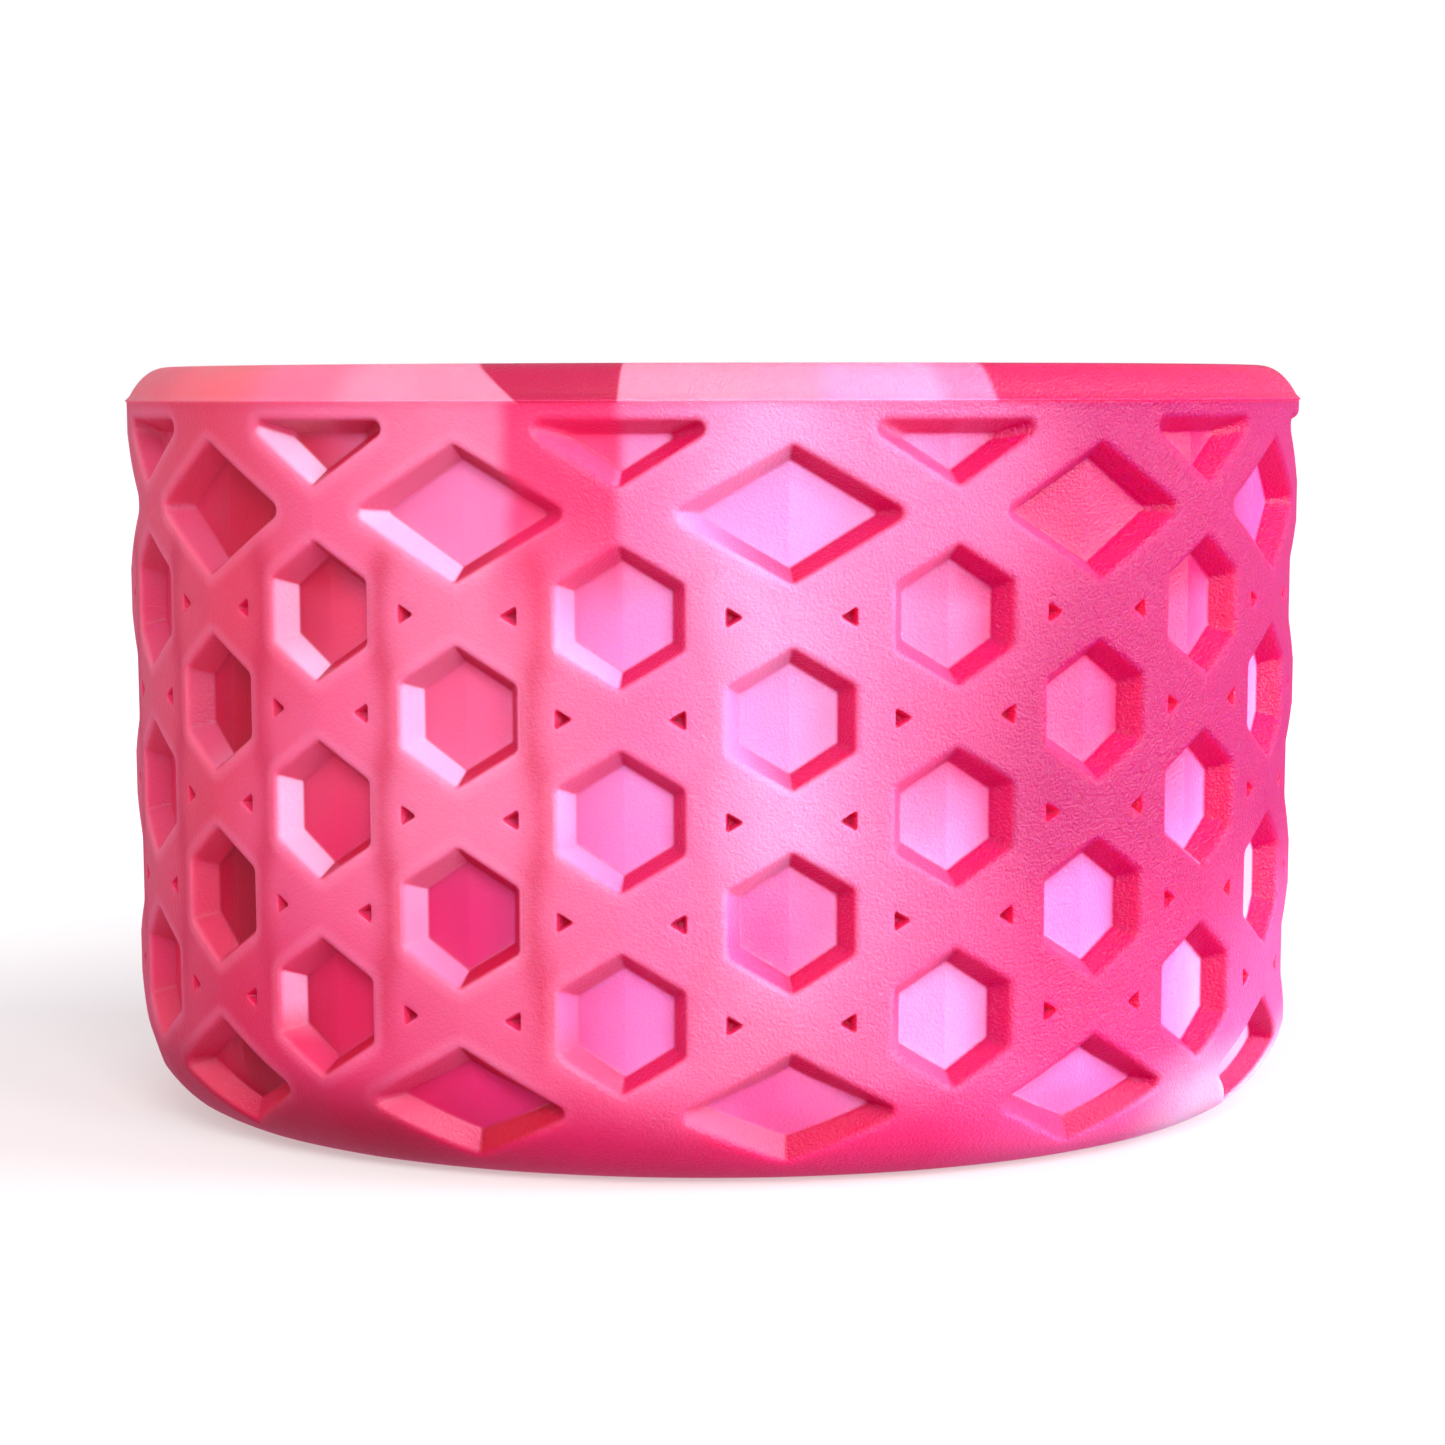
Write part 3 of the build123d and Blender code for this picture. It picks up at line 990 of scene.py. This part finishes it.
# Painted shade in a wavy line between columns on the left, then a pale painted highlight along the pocket
# edges on the left.
shaded = silicone.ramp(turn, 8.0, -20.0) * gap * 0.65
colour_with_painted_light = silicone.blend(straps, tint(200, 34, 80), shaded)
painted_edge_highlight = silicone.ramp(strap, 0.7, 0.0) * silicone.ramp(turn, 4.0, -20.0) * 0.16
colour_with_painted_light = silicone.blend(colour_with_painted_light, tint(252, 176, 212), painted_edge_highlight)
colour_with_painted_light = silicone.blend(colour_with_painted_light, base_shade_and_sheen_row, painted_base_shade)
print("base colour nodes:", len(silicone.tree.nodes))

# %% Lay the colours and the painted light and shade over one another
# The floors get their painted light, shade and reflection, and the walls their painted light and shade.
colour_with_painted_light = silicone.blend(colour_with_painted_light, floors, silicone.ramp(depth, 0.8, 0.99))
colour_with_painted_light = silicone.blend(colour_with_painted_light, walls, wall)
colour_with_painted_light = silicone.blend(colour_with_painted_light, tint(232, 34, 108), patch_low)
# Painted shade in the dimples.
colour_with_painted_light = silicone.blend(colour_with_painted_light, tint(214, 12, 84), dimple_shade * 0.9)
on_rim = silicone.ramp(rise, RIM_LOW - 0.2, RIM_LOW + 0.2)
colour_with_painted_light = silicone.blend(colour_with_painted_light, silicone.blend(rim, CRIMSON, patch), on_rim)

print("colour nodes:", len(silicone.tree.nodes))

# %% [markdown]
# ## The floor of the cup
#
# The bottom is its own disc of silicone, laid in the mould first, so the side charges don't reach its
# middle. It is clouded with two pinks.

# %% Colour of the base disc
DISC_OUT, DISC_IN = 34.5, 30.0
swirl = silicone.ramp(silicone.noise(where, 55.0, 3.0), 0.42, 0.6)
disc = silicone.blend(tint(222, 58, 112), tint(236, 104, 150), swirl)
near_middle = silicone.ramp((x * x + y * y) / MM ** 2, DISC_OUT ** 2, DISC_IN ** 2)
colour_with_painted_light = silicone.blend(colour_with_painted_light, disc, near_middle)
print("colour nodes:", len(silicone.tree.nodes))

# %% [markdown]
# ## Surface of the silicone
#
# The mould's surface was etched, which leaves a fine matte grain about a fifth of a millimetre across.
# Light goes a little way into silicone before it comes out again, red light furthest, so the shader is all
# subsurface.

# %% Grain and sheen
grain = silicone.noise(where, 5200.0, 2.0, 0.6)
etched = silicone.ramp(turn, -25.0, 8.0) * 0.7 + 0.35
etched = etched * (1 - 0.5 * silicone.ramp(depth, 0.8, 0.99))
relief = silicone.node("ShaderNodeBump", {}, {"Strength": 1.0, "Distance": 0.00016, "Height": grain * etched})
rough = 0.3 + 0.14 * silicone.noise(where, 1500.0, 2.0)
silicone.feed(silicone.shader.inputs["Base Color"], colour_with_painted_light)
silicone.feed(silicone.shader.inputs["Normal"], relief)
silicone.feed(silicone.shader.inputs["Roughness"], rough)
for name, value in {"IOR": 1.41, "Subsurface Weight": 1.0, "Subsurface Radius": (1.4, 0.4, 0.55),
                    "Subsurface Scale": 0.0012, "Specular IOR Level": 0.55}.items():
    silicone.shader.inputs[name].default_value = value
silicone.shader.subsurface_method = "RANDOM_WALK"
mesh.materials.append(silicone.owner)
print("silicone nodes:", len(silicone.tree.nodes))

# %% [markdown]
# ## Putting the skin on the model
#
# The skin stands for all the charges of the moulding together, because they cured into one body, and light
# crosses from one to the next.

# %% Ride on the model
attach(sleeve, "root")
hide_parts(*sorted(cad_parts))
print("the skin replaces", len(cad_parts), "nodes")

# %% [markdown]
# ## Floor and light
#
# The sleeve stands on a pale floor in a pale room. The floor glows a little, more further out, so it reads
# as white without a lamp of its own; its weaker glow near the sleeve is a painted shade round the base. It
# is hidden from the sleeve's own light so it doesn't wash out the base corner. Light from below is rosy, as
# it is after a bounce between a pink object and a white table.

# %% Floor
floor_mesh = bpy.data.meshes.new("studio_floor")
HALF_FLOOR = 4.0
floor_mesh.from_pydata([(-HALF_FLOOR, -HALF_FLOOR, 0), (HALF_FLOOR, -HALF_FLOOR, 0),
                        (HALF_FLOOR, HALF_FLOOR, 0), (-HALF_FLOOR, HALF_FLOOR, 0)], [], [(0, 1, 2, 3)])
floor = bpy.data.objects.new("studio_floor", floor_mesh)
bpy.context.scene.collection.objects.link(floor)
paper = Palette(bpy.data.materials.new("floor_paper"))
paper.shader.inputs["Base Color"].default_value = (0.6, 0.6, 0.6, 1)
paper.shader.inputs["Roughness"].default_value = 1.0
paper.shader.inputs["Specular IOR Level"].default_value = 0.0
floor_spot = paper.node("ShaderNodeTexCoord", {}, {}, 3)
out = paper.node("ShaderNodeVectorMath", {"operation": "LENGTH"}, {0: floor_spot}, 1)
# Painted shade: the floor's glow is weaker near the sleeve, out to about 0.22 m.
paper.feed(paper.shader.inputs["Emission Color"],
           paper.blend((0.4, 0.4, 0.4, 1), (0.85, 0.85, 0.85, 1), paper.ramp(out, 0.06, 0.22)))
paper.shader.inputs["Emission Strength"].default_value = 1.0
floor_mesh.materials.append(paper.owner)
floor.visible_diffuse = False
floor.visible_glossy = False

print("floor side:", 2 * HALF_FLOOR, "m")

# %% Room
room = Palette(bpy.data.worlds.new("studio"))
bpy.context.scene.world = room.owner
side = room.node("ShaderNodeSeparateXYZ", {}, {0: room.node("ShaderNodeTexCoord")})
up = Value(room, side.socket.node.outputs[2])
above = room.blend((0.42, 0.36, 0.37, 1), (0.4, 0.4, 0.43, 1), room.ramp(side, -0.8, 0.8))
glow = room.blend((0.6, 0.24, 0.38, 1), above, room.ramp(up, -0.15, 0.15))
seen = room.node("ShaderNodeLightPath")
room.feed(room.shader.inputs["Color"], room.blend(glow, (1.0, 1.0, 1.0, 1), seen))


print("room nodes:", len(room.tree.nodes))

# %% [markdown]
# ## Lights
#
# Four soft lights stand round the sleeve. The front one gives the form, and a strong one at the right makes
# the walls that face it pale. A smaller one between them gives the grain its sheen, and a weak, warm one
# fills the left.

# %% Soft lights
AIM_HEIGHT = 0.025


def softbox(name, azimuth, elevation, distance, size, power, colour):
    """A square light that faces the sleeve."""
    light = bpy.data.lights.new(name, "AREA")
    light.shape = "SQUARE"
    light.size = size
    light.energy = power
    light.color = colour
    box = bpy.data.objects.new(name, light)
    bpy.context.scene.collection.objects.link(box)
    a, e = radians(azimuth), radians(elevation)
    box.location = (distance * cos(e) * sin(a), -distance * cos(e) * cos(a), distance * sin(e) + AIM_HEIGHT)
    box.rotation_euler = (Vector((0, 0, AIM_HEIGHT)) - box.location).to_track_quat("-Z", "Y").to_euler()
    return box


softbox("front_light", 6, 28, 0.7, 0.28, 3.1, (1.0, 0.98, 0.99))
softbox("side_light", 80, 14, 0.6, 0.36, 4.8, (1.0, 0.92, 0.97))
softbox("sheen_light", 36, 10, 0.7, 0.16, 2.0, (1.0, 1.0, 1.0))
softbox("fill_light", -58, 25, 0.8, 0.5, 1.8, (1.0, 0.9, 0.9))
bpy.context.scene.view_settings.view_transform = "Standard"

# %% [markdown]
# ## Camera
#
# A long lens stands just under the height of the rim and looks slightly down. From there the rim shows edge
# on, and the lattice shows with little perspective.

# %% Camera
camera_data = bpy.data.cameras.new("camera")
camera_data.lens = 103.4
CAMERA_OUT, CAMERA_RIGHT, CAMERA_UP = 0.2796, 0.0006, 0.0471
LOOK_DOWN, ROLL = 4.51, -0.115
camera_data.sensor_width = 36
camera_data.clip_end = 20
camera = bpy.data.objects.new("camera", camera_data)
bpy.context.scene.collection.objects.link(camera)
side_turn = radians(0.54)
forward = Vector((sin(side_turn), -cos(side_turn), 0))
right = Vector((cos(side_turn), sin(side_turn), 0))
aim = Matrix.Rotation(side_turn, 3, "Z") @ Matrix.Rotation(radians(90 - LOOK_DOWN), 3, "X")
aim = aim @ Matrix.Rotation(radians(ROLL), 3, "Z")
place = forward * CAMERA_OUT + right * CAMERA_RIGHT + Vector((0, 0, CAMERA_UP))
camera.matrix_world = Matrix.Translation(place) @ aim.to_4x4()
bpy.context.scene.camera = camera
print("camera at", [round(v, 4) for v in camera.location])
